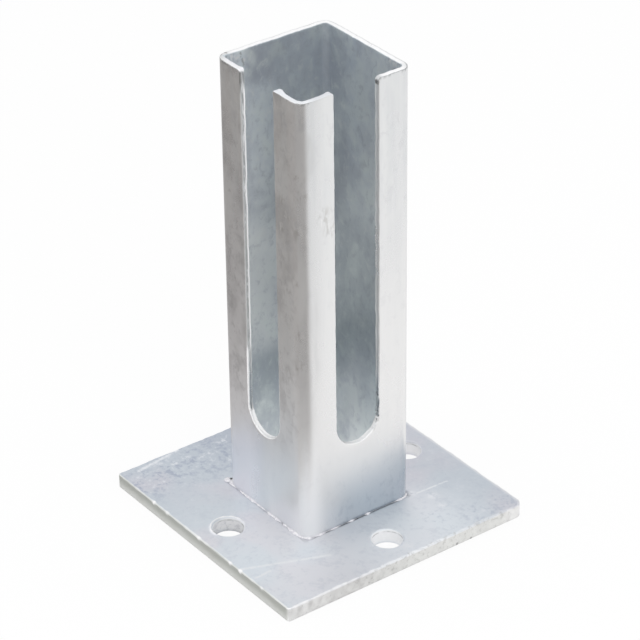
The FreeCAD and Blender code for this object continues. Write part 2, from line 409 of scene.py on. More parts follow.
def rim_bead(spots, across, upright, slot_floor):
    """Share of fresh zinc bead over the rim, below 0 where a cut face is dull and where shade is painted.

    Round the mouth and the slots' floors the share falls from the middle of the wall to both faces. Up
    the slots' sides it follows CUT_SHADES across the wall, weaker on the +X wall and altered near the
    floors."""
    x, y, z = spots.T
    far_side = rise(x, *WALL_RISE)
    behind = rise(np.maximum(-x, y), *WALL_RISE)
    crown = 1 - np.abs(across) / HALF_WALL
    level = 3 * crown - 2 * behind * rise(across, 0.4, 0.9)
    level = np.maximum(level, 14 * slot_floor * crown)
    # painted shadow: a thin dark line along the rim's outer edge, on the +X wall behind its slot, on the -Y
    # wall beside its slot and round the front bend
    under = far_side * rise(y, 15, 18)
    under += rise(-x, 15, 18) * (1 - behind)
    under += rise(x, 20, 26) * rise(-y, 26, 29)
    level = np.clip(level, 0, 1) - bells(spots, DULL_AND_SHADED_RIM) - 0.8 * under * rise(across, 1.2, 1.45)
    cut = np.interp(across, np.array(list(CUT_SHADES)) * MM, list(CUT_SHADES.values()))
    broken = rise(z, 95, 102)
    bright = np.where(across < 0, (0.25 + 0.75 * broken) * (1 - 0.55 * far_side), 1.6 - broken)
    cut = np.where(cut > 0, cut * bright, cut * (1 - 0.5 * far_side) * (0.5 + 0.5 * broken))
    cut = cut + (1 - broken) * (1 - far_side) * rise(across, 0.1, 0.7)
    plain = far_side * rise(y, 0, 5) * rise(z, 78, 90)
    cut = cut * (1 - 0.85 * plain) + 0.22 * plain * rise(-np.abs(across), -1.3, -1.1)
    bead = level * (1 - upright) + cut * upright
    # painted shade at the top of the -Y slot's -X side, below the mouth: no bead there, darkest at the
    # outer edge
    shaded_slot_end = rise(-x, 10, 12) * (1 - behind) * rise(-z, -253, -252.4) * rise(z, 241, 248)
    return bead * (1 - shaded_slot_end) - shaded_slot_end * (0.3 + 0.6 * rise(across, -0.6, 1.2))


def rim_grid(path):
    """Grid of the rim: a flat cut face between two quarter rounds, carried along the edge of the mouth and
    the slots. It wanders, swells into knobs, is notched, and has a ragged lip near the inner face."""
    step = np.roll(path, -1, axis=0) - np.roll(path, 1, axis=0)
    step[:, 0] = (step[:, 0] + 2 * QUARTER) % (4 * QUARTER) - 2 * QUARTER
    step /= np.linalg.norm(step, axis=1, keepdims=True)
    outward = np.stack([-step[:, 1], step[:, 0]], axis=-1)
    spots = on_wall(path[:, 0], path[:, 1], 0)
    x, y, z = spots.T
    upright = smooth(np.abs(outward[:, 0]), 0.9, 0.99)
    slot_floor = (1 - upright) * (z < ARC_HEIGHT)
    knobs = bells(spots, MOUTH_KNOBS)
    wander = 0.12 * waves(spots, 9 * MM, 11) + 0.1 * waves(spots, 3 * MM, 12)
    reach = CUT_EDGE_RADIUS * np.clip(0.7 + wander + knobs, 0.3, 1.0)
    reach -= CUT_EDGE_RADIUS * bells(spots, SLOT_NOTCHES) * (1 + 0.6 * waves(spots, 1.5 * MM, 13))
    turn = ROUND_OVER[:, 0]
    face = HALF_WALL - CUT_EDGE_RADIUS * (1 - np.cos(turn))
    across = np.concatenate([face, CUT_ROWS, -face[::-1]])[:, None]
    round_over = np.concatenate([np.sin(turn), np.ones(len(CUT_ROWS)), np.cos(turn)])[:, None]
    far_side = rise(x, *WALL_RISE)
    heaped = 1.4 - far_side + 1.2 * far_side * rise(y, -6, 3)
    lip = np.exp(-(((across - LIP_OFFSET) / LIP_WIDTH) ** 2)) * (upright + heaped * slot_floor)
    ragged = np.clip(0.6 + 0.4 * waves(spots, 16 * MM, 14) + 0.2 * waves(spots, 4 * MM, 15), 0.1, 1)
    out = round_over * (reach + LIP_HEIGHT * ragged * lip)
    swell = MM * knobs * np.sin(np.linspace(0, 2 * np.pi, len(across)))[:, None]
    swell = swell * np.where(across > 0, 0.8, 1.3)
    rim = on_wall(path[:, 0] + outward[:, 0] * out, path[:, 1] + outward[:, 1] * out, across + swell)
    return rim, True, rim_bead(spots, across, upright, slot_floor)


def sleeve_grids():
    """Grids of the sleeve: its outer and inner faces, with rows that end on the edges of the slots and the
    mouth, the rounded rim along those edges, and the flat end at the foot."""
    top = SLEEVE_TOP - CUT_EDGE_RADIUS
    front, front_drop = wall_strip(SLOT_REACH, QUARTER - SLOT_REACH)
    main, main_drop = wall_strip(QUARTER + SLOT_REACH, 4 * QUARTER - SLOT_REACH)
    fan = np.linspace(-np.pi / 2, np.pi / 2, SLOT_COLUMNS + 2)[1:-1]
    slot_along = SLOT_REACH * np.sin(fan)
    slot_floor = ARC_HEIGHT - SLOT_REACH * np.cos(fan)
    low_along = np.concatenate([slot_along, front, QUARTER + slot_along, main])
    low_top = np.concatenate([slot_floor, ARC_HEIGHT + 0 * front, slot_floor, ARC_HEIGHT + 0 * main])
    low_share = np.linspace(0, 1, SLEEVE_LOW_ROWS)[:, None]
    low_height = SLEEVE_FOOT + (low_top - SLEEVE_FOOT) * low_share
    high_share = np.concatenate([np.linspace(0, 0.985, SLEEVE_HIGH_ROWS), [0.993, 1.0]])[:, None]
    front_height = ARC_HEIGHT + (top - front_drop - ARC_HEIGHT) * high_share
    main_height = ARC_HEIGHT + (top - main_drop - ARC_HEIGHT) * high_share
    slot_path = np.stack([slot_along, slot_floor], axis=-1)
    edges = [strip_edge(front, front_height), strip_edge(main, main_height)]
    grids = [rim_grid(np.concatenate([slot_path, edges[0], slot_path + [QUARTER, 0], edges[1]]))]
    for side in (HALF_WALL, -HALF_WALL):
        grids.append((on_wall(low_along, low_height, side), True, 0.0))
        grids.append((on_wall(front, front_height, side), False, 0.0))
        grids.append((on_wall(main, main_height, side), False, 0.0))
    end_offset = np.linspace(HALF_WALL, -HALF_WALL, SLEEVE_END_ROWS)[:, None]
    grids.append((on_wall(low_along, SLEEVE_FOOT, end_offset), True, 0.0))
    return grids


# Surfaces of the joint


SEAM_LUMPS = [
    ((-33.0, -32.4, 8), 2.6, 1.3), ((-30, -34.5, 8), 1.6, 0.4), ((-25, -34, 8), 4.0, -0.4),
    ((-12, -34, 8), 1.6, 0.4), ((4, -34, 8), 2.0, 0.35), ((16, -34, 8), 1.4, 0.45),
    ((23, -34, 8), 1.6, 0.3), ((32.6, -35.0, 8), 2.4, 1.3), ((34, -24.5, 8), 3.0, 0.8),
    ((34, -15.5, 8), 2.6, 0.6), ((34, -4.5, 8), 1.6, 0.7), ((34, 5.8, 8), 1.2, 0.9),
    ((34, 27, 8), 2.6, 0.9),
]
SEAM_SINK = 0.1 * MM  # how far the seam's heel lies below the plate's upper face
# Drop of zinc at the -X-Y corner of the foot, with a pit
DROP_PLACE = (-34.7 * MM, -32.9 * MM)
DROP_REACH = 2.3 * MM
DROP_RISE = 1.1 * MM
DROP_SINK = 0.05 * MM
DROP_PIT = (-34.0 * MM, -31.0 * MM)
DROP_PIT_RADIUS = 1.2 * MM


def seam_grids():
    """Grids of the zinc seam: a rounded bead with legs of uneven length carried round the sleeve's foot.
    Along the +X side it is starved, with a few lumps that bridge the gap. A low dome at one corner is a
    drop of zinc with a pit sunk in it."""
    quarters, normals = square_quarters(SLEEVE_HALF, [BEND_RADIUS] * 4)
    path, facing = ring(quarters), ring(normals)
    spots = lift(path, PLATE_TOP)
    starved = rise(path[:, 0], 33.2, 33.7)
    plain = 1 + 0.35 * waves(spots, 9 * MM, 21) + 0.35 * waves(spots, 3 * MM, 22)
    lumps = bells(spots, SEAM_LUMPS)
    leg = SEAM_LEG * np.clip(0.5 * plain * (1 - 0.9 * starved) + lumps, 0.06, 4)
    height = SEAM_LEG * np.clip(0.36 * plain * (1 - 0.88 * starved) + 0.5 * lumps, 0.05, 1.6)
    turn = np.linspace(0, np.pi / 2, SEAM_ROWS)[:, None]
    hollow = np.stack([1 - np.sin(turn), 1 - np.cos(turn)])
    full = np.stack([np.cos(turn), np.sin(turn)])
    shape = 0.45 * hollow + 0.55 * full
    heel = np.full((1, len(path)), -SEAM_SINK)
    out = np.concatenate([leg * shape[0], 0 * heel, leg[None]])
    level = PLATE_TOP + np.concatenate([height * shape[1], heel, 0 * heel])
    seam = lift(path + out[..., None] * facing, level)
    around = np.linspace(0, 2 * np.pi, DROP_COLUMNS, endpoint=False)
    share = np.linspace(0, 1, DROP_ROWS)[:, None]
    heading = np.stack([np.cos(around), np.sin(around)], axis=-1)
    drop = np.array(DROP_PLACE) + DROP_REACH * heading * share[..., None]
    dome = DROP_RISE * np.sqrt(1 - share**2) * (1 + 0 * around)
    pit = np.linalg.norm(drop - np.array(DROP_PIT), axis=-1) / DROP_PIT_RADIUS
    dome = dome * (1 - 0.85 * np.exp(-(pit**4)))
    crown = lift(drop, PLATE_TOP - DROP_SINK + dome)
    base = lift(drop, PLATE_TOP - DROP_SINK)[::-1]
    return [(seam, True, 1.0), (np.concatenate([crown, base]), True, 1.0)]


def weld_grids():
    """Grid of the weld below the sleeve's foot: a fillet with a rippled face carried round the seat."""
    quarters, normals = square_quarters(SLEEVE_HALF + SEAT_CLEARANCE, [BEND_RADIUS + SEAT_CLEARANCE] * 4)
    path, facing = ring(quarters), ring(normals)
    length = np.cumsum(np.linalg.norm(path - np.roll(path, 1, axis=0), axis=1))
    ripple = np.abs(np.sin(np.pi * length / WELD_RIPPLE))
    leg_in = SLEEVE_WALL + SEAT_CLEARANCE
    leg_down = SLEEVE_FOOT - WELD_SET_BACK
    share = np.linspace(0, 1, WELD_ROWS)[:, None]
    swell = np.sin(np.pi * share) * (WELD_CROWN + WELD_RIPPLE_HEIGHT * ripple)
    inset = leg_in * share + 0.6 * swell * (1 - share)
    drop = leg_down * (1 - share) + 0.6 * swell * share
    heel = np.zeros((1, len(path)))
    inset = np.concatenate([inset, heel, inset[:1]])
    drop = np.concatenate([drop, heel, drop[:1]])
    return [(lift(path - inset[..., None] * facing, SLEEVE_FOOT - drop), True, 0.0)]


# Finishes


class Wire:
    """One value of a finish under way. Operators between wires and numbers add Math nodes."""

    def __init__(self, finish, socket):
        self.finish = finish
        self.socket = socket

    def maths(self, operation, first, second):
        return self.finish.node("ShaderNodeMath", {"operation": operation}, {0: first, 1: second})

    def __add__(self, other):
        return self.maths("ADD", self, other)

    def __sub__(self, other):
        return self.maths("SUBTRACT", self, other)

    def __rsub__(self, other):
        return self.maths("SUBTRACT", other, self)

    def __mul__(self, other):
        return self.maths("MULTIPLY", self, other)

    __radd__ = __add__
    __rmul__ = __mul__


class Finish:
    """A node tree that is being filled: a material's or the world's."""

    BUMP_DEPTH = 0.3 * MM

    def __init__(self, owner):
        owner.use_nodes = True
        self.owner = owner
        self.tree = owner.node_tree
        self.on_mesh = isinstance(owner, bpy.types.Material)
        self.tree.nodes.clear()

    def node(self, kind, settings=None, inputs=None, output=0):
        """Adds a node: first its settings, then the values or wires of its sockets. Returns one output."""
        made = self.tree.nodes.new(kind)
        for key, value in (settings or {}).items():
            setattr(made, key, value)
        for key, value in (inputs or {}).items():
            if isinstance(value, Wire):
                self.tree.links.new(value.socket, made.inputs[key])
            else:
                made.inputs[key].default_value = value
        return Wire(self, made.outputs[output]) if made.outputs else None

    def vector(self, operation, first, second=(0, 0, 0), output=0):
        """Vector Math node between two vectors."""
        return self.node("ShaderNodeVectorMath", {"operation": operation}, {0: first, 1: second}, output)

    def place(self, stretch=(1, 1, 1)):
        """Object coordinates, stretched along the axes."""
        return self.vector("MULTIPLY", self.node("ShaderNodeTexCoord", output="Object"), stretch)

    def axes(self):
        """Distances from the origin along X, Y and Z."""
        here, axes = self.place(), ((1, 0, 0), (0, 1, 0), (0, 0, 1))
        return [self.vector("DOT_PRODUCT", here, axis, "Value") for axis in axes]

    def noise(self, size, detail, roughness, stretch=(1, 1, 1), twist=0.0):
        """Cloudy noise from 0 to 1, with patches of about the given size in millimetres."""
        sockets = {"Vector": self.place(stretch), "Scale": 1 / (size * MM), "Detail": detail}
        sockets |= {"Roughness": roughness, "Distortion": twist}
        return self.node("ShaderNodeTexNoise", None, sockets)

    def ramp(self, value, low, high):
        """0 where the value is at low, 1 where it is at high, and a smooth rise between."""
        settings = {"interpolation_type": "SMOOTHSTEP"}
        return self.node("ShaderNodeMapRange", settings, {0: value, 1: low, 2: high})

    def span(self, distance, low, high):
        """A ramp over a distance, with its limits in millimetres."""
        return self.ramp(distance, low * MM, high * MM)

    def blend(self, share, first, second):
        """A colour between two colours."""
        return self.node("ShaderNodeMix", {"data_type": "RGBA"}, {0: share, 6: first, 7: second}, output=2)

    def coat(self, colour, layers):
        """Lays colours over a colour in turn. Each layer is a share and a colour."""
        for share, layer in layers:
            colour = self.blend(share, colour, layer)
        return colour

    def clamp(self, value):
        """The value kept between 0 and 1."""
        return self.node("ShaderNodeClamp", None, {0: value})

    def any_of(self, values):
        """Sum of several values, kept between 0 and 1."""
        first, *rest = values
        return self.clamp(sum(rest, first))

    def attribute(self, name):
        """Value kept at the points of the mesh."""
        return self.node("ShaderNodeAttribute", {"attribute_name": name}, output="Fac")

    def square_reach(self, x, y):
        """Distance out from the Z axis along X and along Y: the larger one and the smaller one."""
        sides = [self.node("ShaderNodeMath", {"operation": "ABSOLUTE"}, {0: side}) for side in (x, y)]
        return [sides[0].maths(pick, *sides) for pick in ("MAXIMUM", "MINIMUM")]

    def near(self, place, inner, outer):
        """1 within the inner distance of a place, falling to 0 at the outer one, all in millimetres."""
        there = tuple(value * MM for value in place)
        return self.span(self.vector("DISTANCE", self.place(), there, "Value"), outer, inner)

    def line(self, start, end, width):
        """1 on a straight line between two places, falling to 0 at the width beside it, in millimetres."""
        start, end = Vector(start) * MM, Vector(end) * MM
        run = end - start
        offset = self.vector("SUBTRACT", self.place(), start)
        share = self.clamp(self.vector("DOT_PRODUCT", offset, run / run.length_squared, "Value"))
        along = self.node("ShaderNodeVectorMath", {"operation": "SCALE"}, {0: run, "Scale": share})
        return self.span(self.vector("DISTANCE", offset, along, "Value"), width, 0)

    def spots(self, places):
        """1 near any of several places, each with an inner and an outer distance."""
        return self.any_of(self.near(*place) for place in places)

    def surface(self, colour, metallic, roughness, height, strength):
        """Ends the finish with a metal or zinc surface and a bump of the given height."""
        relief = {"Strength": strength, "Distance": self.BUMP_DEPTH, "Height": height}
        bump = self.node("ShaderNodeBump", None, relief)
        sockets = {"Base Color": colour, "Metallic": metallic, "Roughness": roughness, "Normal": bump}
        shader = self.node("ShaderNodeBsdfPrincipled", None, sockets)
        self.node("ShaderNodeOutputMaterial", None, {"Surface": shader})
        return self.owner


def tint(red, green, blue):
    """Opaque colour."""
    return (red, green, blue, 1.0)


def grey(value):
    """Opaque grey."""
    return tint(value, value, value)


# Places and distances of the finishes are in millimetres
UPRIGHT = (1, 1, 0.7)  # patches longer along Z
ZINC_BEAD = tint(0.985, 0.985, 0.99)
# place of the pit in the drop of zinc, where shadow is painted on the plate and the seam
PIT_SHADOW = (DROP_PIT[0] / MM, DROP_PIT[1] / MM, PLATE_TOP / MM)
PLATE_FRONT = ((62, -62, 8), 20, 120)
PLATE_LEFT = ((-72, 14, 8), 12, 62)
PLATE_RIGHT = ((60, 14, 8), 12, 60)
PLATE_CHALKY = ((48, -4, 8), 12, 50)
PLATE_ZONES = [
    ((-66, -34, 8), 8, 36), ((-60, -66, 8), 4, 24), ((-58, -6, 8), 4, 26), ((69, 66, 8), -12, 20),
    ((68, 50, 8), -6, 14), ((58, 31, 8), -12, 16),
]
EDGE_PITS = [((75, 31.2, 1.0), 0.2, 1.2), ((75, 40.4, 0.7), 0.2, 1.0)]
PLATE_SCRATCHES = [
    ((33.5, -74.5, 8), (51, -31.4, 8), 1.5), ((44.2, -72.2, 8), (43.7, -63.2, 8), 1.3),
    ((-70.2, -64.9, 8), (-74.2, -38, 8), 1.8), ((34.8, 37.2, 8), (35.7, 56.4, 8), 1.0),
]
PLATE_BLOOMS = [
    ((41.7, 41.6, 8), 0, 5), ((51.2, 40.6, 8), 0, 3.2), ((33.3, 34.5, 8), 0, 4), ((68.9, 4.3, 8), 0, 5),
    ((-64.8, -46.4, 8), 0.6, 2.6), ((-60.8, -31.3, 8), 0.4, 1.3), ((-63.1, -37.4, 8), 0.3, 1.5),
]


def plate_finish():
    """Bluish zinc with lilac clouds, paler towards the front. Towards two corners it is mottled, and a few
    light scratches cross it. The sides are greyer: the -Y one torn below, the +X one blotched and
    crumbled. Shadow is painted in a broken ring just under each hole's rim and in the pit by the sleeve's
    foot."""
    finish = Finish(bpy.data.materials.new("galvanised_plate"))
    x, y, z = finish.axes()
    bead = finish.attribute("bead")
    clouds = finish.ramp(finish.noise(42, 2, 0.5, twist=0.3), 0.38, 0.62)
    broad = finish.noise(8, 4, 0.6, twist=0.3)
    fine = finish.noise(2.2, 4, 0.6, twist=0.25)
    grain = finish.noise(1.1, 3, 0.6)
    blotches = finish.ramp(broad, 0.4, 0.6)
    specks = finish.ramp(fine, 0.5, 0.36)
    zone = finish.spots(PLATE_ZONES)
    dark = finish.ramp(broad * 0.52 + fine * 0.48, 0.51, 0.38)
    light = finish.ramp(broad * 0.45 + fine * 0.55, 0.53, 0.66)
    marks = finish.any_of(finish.line(*ends) for ends in PLATE_SCRATCHES)
    marks = marks * (0.35 + 0.65 * finish.ramp(fine, 0.3, 0.55))
    blooms = finish.spots(PLATE_BLOOMS) * finish.ramp(fine, 0.35, 0.55)
    back_rim = finish.span(y, 72.6, 74.2)
    left_side = finish.span(y, -74.2, -74.8)
    torn = finish.span(z + 3 * MM * broad, 7.5, 2.5) * left_side
    right_side = finish.span(x, 74.2, 74.8) * finish.span(z, 7.4, 6.6)
    pale_end = right_side * finish.span(y, -30, -72)
    worn = right_side * finish.span(y, -60, 0) * finish.span(y, 68, 58)
    crumbled = finish.span(x, 72.8, 74.4) * finish.span(y, -55, -10) * finish.span(y, 70, 60)
    in_holes = finish.span(finish.square_reach(x, y)[0], 69, 67)
    # painted shadow: a dark broken ring just under each hole's rim
    hole_rim_shadow = finish.span(z, 6.2, 6.7) * finish.span(z, 7.5, 6.9) * in_holes * blotches
    front_bore = finish.span(z, 7.3, 6.6) * in_holes * finish.span(y, -40, -48)
    front_colour = finish.blend(clouds, tint(0.86, 0.91, 0.955), tint(0.90, 0.905, 0.945))
    side_colour = finish.blend(blotches, tint(0.78, 0.78, 0.775), tint(0.85, 0.85, 0.845))
    colour = finish.coat(tint(0.675, 0.725, 0.785), [
        (clouds, tint(0.725, 0.73, 0.79)),
        (finish.near(*PLATE_FRONT), front_colour),
        (finish.near(*PLATE_LEFT) * 0.85, tint(0.56, 0.605, 0.68)),
        (finish.near(*PLATE_RIGHT) * 0.7, tint(0.91, 0.955, 1.0)),
        (dark * (0.14 + 0.56 * zone), tint(0.46, 0.51, 0.62)),
        (light * (0.2 + 0.5 * zone), tint(0.90, 0.915, 0.96)),
        (marks * 0.7, tint(0.96, 0.975, 1.0)),
        (blooms * 0.7, tint(0.95, 0.965, 1.0)),
        (back_rim * 0.6, tint(0.93, 0.935, 0.95)),
        (left_side * 0.85, tint(0.68, 0.705, 0.655)),
        (torn * 0.8, tint(0.79, 0.80, 0.785)),
        # fresh zinc bead, which along the plate's -Y edge is a painted highlight
        (bead * 0.85, ZINC_BEAD),
        (right_side * 0.85, side_colour),
        (pale_end * 0.7, tint(0.92, 0.925, 0.925)),
        (worn * 0.45, tint(0.68, 0.69, 0.67)),
        (crumbled * specks * 0.4, tint(0.52, 0.53, 0.51)),
        (finish.spots(EDGE_PITS) * 0.75, grey(0.2)),
        (right_side * finish.ramp(fine, 0.4, 0.3) * 0.4, grey(0.45)),
        (hole_rim_shadow * 0.6, grey(0.35)),
        (front_bore * specks * 0.35, tint(0.50, 0.53, 0.58)),
        # painted shadow in the pit
        (finish.near(PIT_SHADOW, 0.9, 2.0), grey(0.06)),
    ])
    pitted = finish.ramp(bead, 0.3, 0.7)
    roughness = 0.44 + 0.12 * broad + 0.06 * zone
    relief = broad * 0.5 + fine * (0.1 + 0.4 * zone + 0.5 * pitted) + grain * 0.1 + marks * 0.3
    metallic = 1.0 - 0.55 * bead - 0.5 * torn - 0.3 * marks - 0.2 * finish.near(*PLATE_CHALKY)
    return finish.surface(colour, metallic, roughness, relief, 0.3)


SLEEVE_SPECKS = [
    ((19.1, -33.75, 198), 0.6, 4), ((23, -33.75, 191), 0.4, 5), ((18, -33.75, 182.6), 0.8, 4),
    ((31, -33, 214), 0.6, 5), ((32, -32, 205), 0.6, 6), ((31, -33, 185), 0.8, 7),
    ((28.5, -33.75, 156), 0.5, 4), ((21.8, -33.75, 149), 0.5, 5), ((29.8, -33.75, 109), 0.8, 6),
    ((23, -33.75, 101), 0.5, 6), ((31, -33, 127), 0.6, 5), ((33.7, -20, 190), 1, 8),
    ((33.7, -16, 182), 1, 6),
]
# painted shadow in the notch by the mouth and in the notches above the +X slot's floor; the last two are
# dark marks at the mouth's -X-Y corner
SLEEVE_SHADOWS_AND_MARKS = [
    ((32.4, 12.8, 251.3), 0.9, 2.0), ((32.4, 12.9, 77), 0.3, 1.8), ((32.4, 12.5, 66), 0.6, 2.4),
    ((32.4, 12.1, 62), 0.4, 2.0), ((-32.4, -28, 253.5), 0.3, 1.4), ((-29, -30.6, 252), 0.4, 2.2),
]
MOUTH_CREASE = ((-30.7, -20.8, 252.5), (-30.7, -19.0, 245.5), 1.0)
SLEEVE_SMEARS = [
    ((-30.7, -26, 251.3), 0.5, 3.4), ((-30.7, -22.5, 249.5), 0.3, 2.5), ((-30.7, -19.0, 248), 0.3, 1.8),
    ((24, 30.7, 251.8), 0.4, 2.8), ((20, 30.7, 252.5), 0.3, 2.2), ((25.5, 30.7, 248), 0.2, 2.2),
]


def inner_shades(finish, x, y, z, upper, waist, low):
    """Colour of the sleeve's inner walls: bluer and darker towards the mouth, with painted shade just above
    the slots' floors, under the mouth on the -X wall and at mid-height on the +Y wall, a painted lighter
    band at mid-height on the other walls, and painted light low in the far corner, which the +Y wall
    mirrors. The +Y wall has one set of layers and the other walls have another."""
    back = finish.span(y, -14, 6) * (0.35 + 0.65 * upper)
    shadow_below_mouth = finish.span(z, 229, 238) * finish.span(y, -21, -15) * finish.span(y, 8, -12)
    lit_far_corner = finish.span(y, 6, 12) * finish.span(z, 64, 46)
    walls = finish.coat(tint(0.98, 1.0, 1.0), [
        (upper, tint(0.87, 0.935, 0.985)),
        # painted shade just above the slots' floors
        (low, tint(0.62, 0.67, 0.695)),
        # painted light: a lighter band at mid-height
        (waist * 0.8, tint(0.97, 1.0, 1.0)),
        (back * 0.6, tint(0.66, 0.71, 0.77)),
        # painted shadow on the -X wall under the mouth
        (shadow_below_mouth, tint(0.515, 0.56, 0.63)),
        # painted light low in the far corner, which brightens what the +Y wall mirrors
        (lit_far_corner * 0.8, grey(1.0)),
    ])
    shaded_belt = finish.span(z, 106, 92) * finish.span(z, 60, 88)
    back_wall = finish.coat(tint(0.97, 1.0, 1.0), [
        (upper, tint(0.735, 0.80, 0.87)),
        (finish.span(x, -10, 3) * 0.8, tint(0.93, 0.98, 1.0)),
        (finish.span(x, -9, -19) * 0.5, tint(0.62, 0.665, 0.70)),
        # painted shade at mid-height, against the lighter band that this wall mirrors
        (waist * 0.8, tint(0.71, 0.755, 0.785)),
        # painted shade just above the slots' floors
        (shaded_belt * 0.7, tint(0.72, 0.76, 0.78)),
    ])
    return finish.blend(finish.span(y, 27, 30.5), walls, back_wall)


def sleeve_finish():
    """Grey zinc with upright streaks and mottling, some dull specks, a whiter bead along the mouth and the
    slots, and duller cut faces in the slots. The -Y face is darker, and the +X face is pale with a bluish
    foot. Shade and some light are painted on the inner walls; shade is also painted in the inner bends,
    beside the -Y bend, under the rim and in notches, and painted reflection makes the outer faces paler low
    down."""
    finish = Finish(bpy.data.materials.new("galvanised_sleeve"))
    x, y, z = finish.axes()
    bead = finish.attribute("bead")
    clouds = finish.ramp(finish.noise(26, 3, 0.55, (1, 1, 0.4), 0.5), 0.36, 0.64)
    streaks = finish.ramp(finish.noise(4.5, 3, 0.6, (1, 1, 0.06)), 0.36, 0.64)
    patches = finish.noise(6, 4, 0.6, (1, 1, 0.6), 0.5)
    mottles = finish.noise(13, 3, 0.5, UPRIGHT, 0.3)
    speckles = finish.noise(4, 4, 0.65, UPRIGHT, 0.4)
    flecks = finish.noise(2.2, 3, 0.6, (1, 1, 0.45), 0.3)
    dashes = finish.noise(2.0, 3, 0.6, (1, 1, 0.3))
    grain = finish.noise(1.3, 3, 0.6)
    deep = finish.ramp(mottles, 0.56, 0.32)
    pale = finish.ramp(mottles, 0.46, 0.7)
    dull = finish.ramp(speckles, 0.5, 0.3)
    clear = finish.ramp(speckles, 0.52, 0.72)
    upper = finish.span(z, 60, 250)
    low = finish.span(z, 88, 74)
    waist = finish.span(z, 162, 145) * (1.0 - low)
    wide, narrow = finish.square_reach(x, y)
    inner = finish.span(wide, 31.3, 31.0)
    corner = finish.span(narrow, 27, 29) * inner
    face = finish.span(y, -33.0, -33.6)
    left_part = face * (1.0 - upper) * finish.span(x, 2, -14)
    spotted = face * finish.span(z, 40, 80)
    right_face = finish.span(x, 32.5, 33.5)
    # painted shade: a dull band on the +X face beside the -Y bend, fading out low down
    bend = finish.span(y, -18, -28) * finish.span(y, -31.8, -29.5) * finish.span(x, 31.6, 32.6)
    bend = bend * (0.25 + 0.45 * clouds) * finish.span(z, 50, 110)
    foot = finish.span(z, 46, 14) * right_face * finish.span(y, -29, -4)
    glow = finish.span(x, 21, 29) * finish.span(y, -28, -31)
    # paler and less metallic low down at the +X/-Y bend
    pale_low_bend = finish.span(z, 80, 25) * finish.span(y, -20, -30) * finish.span(x, 26, 32.5)
    specks = finish.spots(SLEEVE_SPECKS)
    smears = finish.spots(SLEEVE_SMEARS)
    stained = finish.ramp(patches, 0.46, 0.3) * (0.1 + 0.25 * upper) * (1.0 - 0.6 * inner)
    ragged = finish.ramp(grain + 0.6 * bead, 0.35, 0.75)
    fresh = finish.clamp(bead * 1.2) * (0.75 + 0.25 * ragged)
    tip = finish.span(z, 249, 251.5) * fresh
    front_tip = tip * finish.span(y, -8, -13) * finish.span(x, 8, 13)
    right_tip = front_tip * finish.span(y, -27, -23)
    cut = finish.clamp(bead * -1.0) * finish.ramp(dashes, 0.65, 0.42)
    shadows_and_marks = finish.spots(SLEEVE_SHADOWS_AND_MARKS) * finish.ramp(grain, 0.62, 0.42)
    crease = finish.line(*MOUTH_CREASE) * finish.ramp(grain, 0.62, 0.45)
    colour = finish.coat(tint(0.735, 0.755, 0.775), [
        (clouds, tint(0.83, 0.85, 0.855)),
        (streaks * 0.25, tint(0.90, 0.905, 0.91)),
        (inner * 0.85, inner_shades(finish, x, y, z, upper, waist, low)),
        (deep * inner * (1.0 - 0.7 * waist) * 0.4, tint(0.60, 0.63, 0.70)),
        (pale * inner * 0.55, tint(0.95, 1.0, 0.985)),
        (dull * inner * 0.4, tint(0.56, 0.59, 0.64)),
        (clear * inner * 0.45, tint(0.97, 1.0, 0.99)),
        # painted shade in the inner bends
        (corner * 0.3, tint(0.50, 0.54, 0.58)),
        # on the -Y face, darker and streaked towards the top, paler low down and most to the left: partly
        # painted reflection of the floor
        (face * upper * (0.35 + 0.4 * streaks), tint(0.68, 0.668, 0.66)),
        (face * (1.0 - upper) * 0.4, tint(0.81, 0.81, 0.82)),
        (left_part * 0.6, tint(0.95, 0.94, 0.97)),
        (spotted * deep * 0.6, tint(0.58, 0.58, 0.585)),
        (spotted * pale * 0.55, tint(0.82, 0.83, 0.835)),
        (spotted * dull * 0.5, tint(0.54, 0.54, 0.55)),
        (spotted * clear * 0.5, tint(0.85, 0.855, 0.86)),
        # painted reflection: the +X face is paler low down
        (right_face * (1.0 - upper) * 0.7, tint(0.90, 0.90, 0.905)),
        # painted shade beside the -Y bend
        (bend, tint(0.50, 0.51, 0.52)),
        (foot * 0.65, tint(0.43, 0.50, 0.57)),
        (foot * dull * 0.4, tint(0.42, 0.47, 0.53)),
        (glow * 0.4, tint(0.95, 0.94, 0.94)),
        (pale_low_bend, tint(0.85, 0.86, 0.875)),
        (specks * finish.ramp(flecks, 0.54, 0.34) * 0.5, tint(0.50, 0.49, 0.47)),
        (specks * finish.ramp(flecks, 0.54, 0.68) * 0.6, grey(0.93)),
        (smears * finish.ramp(flecks, 0.5, 0.36) * 0.6, tint(0.45, 0.48, 0.52)),
        (smears * finish.ramp(flecks, 0.46, 0.58) * 0.8, grey(1.0)),
        (stained, tint(0.63, 0.64, 0.67)),
        (fresh, ZINC_BEAD),
        (tip * finish.span(y, -28, -31) * 0.6, tint(0.84, 0.85, 0.89)),
        (front_tip * 0.75, tint(0.81, 0.84, 0.88)),
        (right_tip * 0.6, tint(0.67, 0.69, 0.73)),
        # dull cut faces, with the painted shade under the rim and at the top of the -Y slot
        (cut * 0.85, tint(0.33, 0.34, 0.34)),
        # painted shadow in notches, and dark marks
        (shadows_and_marks * 0.9, grey(0.16)),
        (crease * 0.5, grey(0.25)),
    ])
